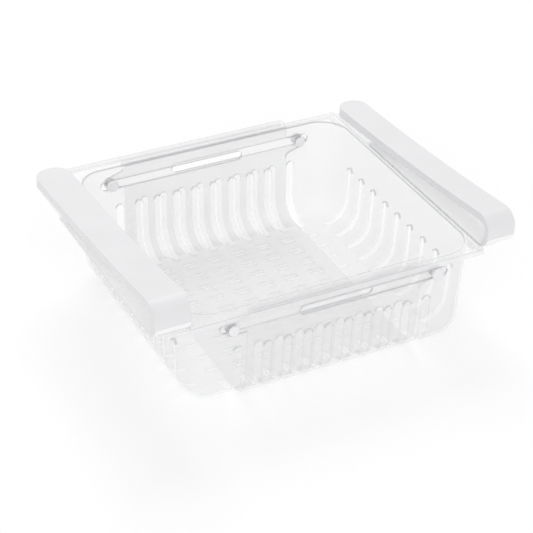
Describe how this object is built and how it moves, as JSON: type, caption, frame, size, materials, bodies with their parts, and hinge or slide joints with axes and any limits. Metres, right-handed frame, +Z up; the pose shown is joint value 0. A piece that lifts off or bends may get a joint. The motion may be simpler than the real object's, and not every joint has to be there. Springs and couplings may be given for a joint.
{
  "type": "fridge drawer organizer",
  "caption": "Slotted open-top drawer in nesting halves that slide to change its length, hung below a fridge shelf by a spring clip rail along each end.",
  "frame": {"origin": "below the middle of the drawer, on the plane of the outer tray's floor underside", "axes": "+X along the sliding direction towards the outer tray's end, +Y from the clips' round noses at the front to their free tips at the back, +Z up"},
  "size_m": [0.203, 0.1642, 0.0774],
  "materials": {
    "tray_plastic": "frosted translucent, faint gloss",
    "rail_plastic": "milky white, satin",
    "stud_plastic": "milky white, satin"
  },
  "bodies": {
    "outer_half": {"outer_tray": "tray_plastic", "right_clip_rail": "rail_plastic", "outer_tray_front_stud": "stud_plastic", "outer_tray_back_stud": "stud_plastic"},
    "inner_half": {"inner_tray": "tray_plastic", "left_clip_rail": "rail_plastic", "inner_tray_front_stud": "stud_plastic", "inner_tray_back_stud": "stud_plastic"}
  },
  "joints": [
    {"name": "length_slide", "type": "slide", "parent": "outer_half", "child": "inner_half", "axis": [-1, 0, 0], "range_m": [-0.0037, 0.0767]}
  ]
}
